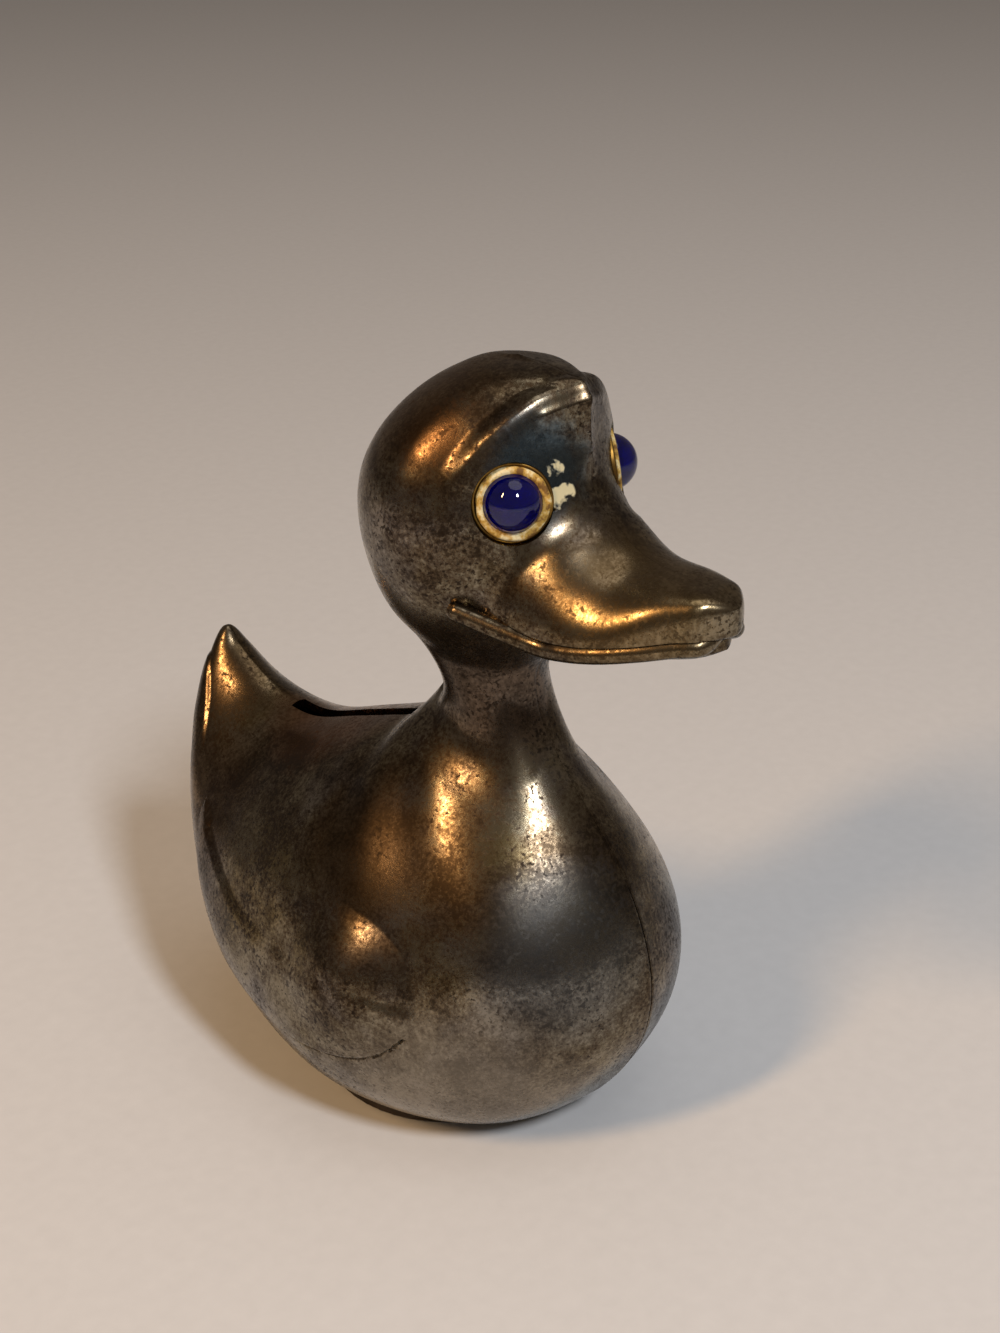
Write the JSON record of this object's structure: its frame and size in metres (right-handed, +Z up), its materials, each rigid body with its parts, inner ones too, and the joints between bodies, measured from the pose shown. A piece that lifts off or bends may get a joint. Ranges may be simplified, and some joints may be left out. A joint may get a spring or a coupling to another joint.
{
  "type": "duck coin bank",
  "caption": "Silver-plated duck coin bank in two stamped half shells, with glass eyes, a coin slot in the back and a screw-out plug in the base.",
  "frame": {"origin": "middle of the part's box, on the plane that the base plate stands on", "axes": "+Z up, -Y the way the duck faces, +X the duck's left side"},
  "size_m": [0.0678, 0.1064, 0.1253],
  "materials": {
    "silver_plate": "tarnished silver plate on stamped sheet",
    "eye_cup_brass": "dull brass",
    "eye_cement": "matt setting cement",
    "cobalt_glass": "polished cobalt glass",
    "base_steel": "darkened sheet",
    "trap_brass": "turned brass, dulled",
    "washer_fibre": "pressed fibre"
  },
  "bodies": {
    "duck": {"right_half_shell": "silver_plate", "left_half_shell": "silver_plate", "lower_bill": "silver_plate", "right_eye_cup": "eye_cup_brass", "right_eye_cement": "eye_cement", "right_eye": "cobalt_glass", "left_eye_cup": "eye_cup_brass", "left_eye_cement": "eye_cement", "left_eye": "cobalt_glass", "base_plate": "base_steel", "base_collar": "trap_brass"},
    "seal": {"trap_washer": "washer_fibre"},
    "plug": {"coin_plug": "trap_brass", "pinch_bar": "trap_brass"}
  },
  "joints": [
    {"name": "plug_drop", "type": "slide", "parent": "duck", "child": "seal", "axis": [0, 0, -1], "range_m": [0, 0.0084]},
    {"name": "plug_turn", "type": "hinge", "parent": "seal", "child": "plug", "pos_m": [0, 0.0008, 0.003], "axis": [0, 0, -1], "range_deg": [0, 1260]}
  ],
  "couplings": [
    {"joint": "plug_drop", "follows": "plug_turn", "m_per_rad": 0.00038197}
  ]
}
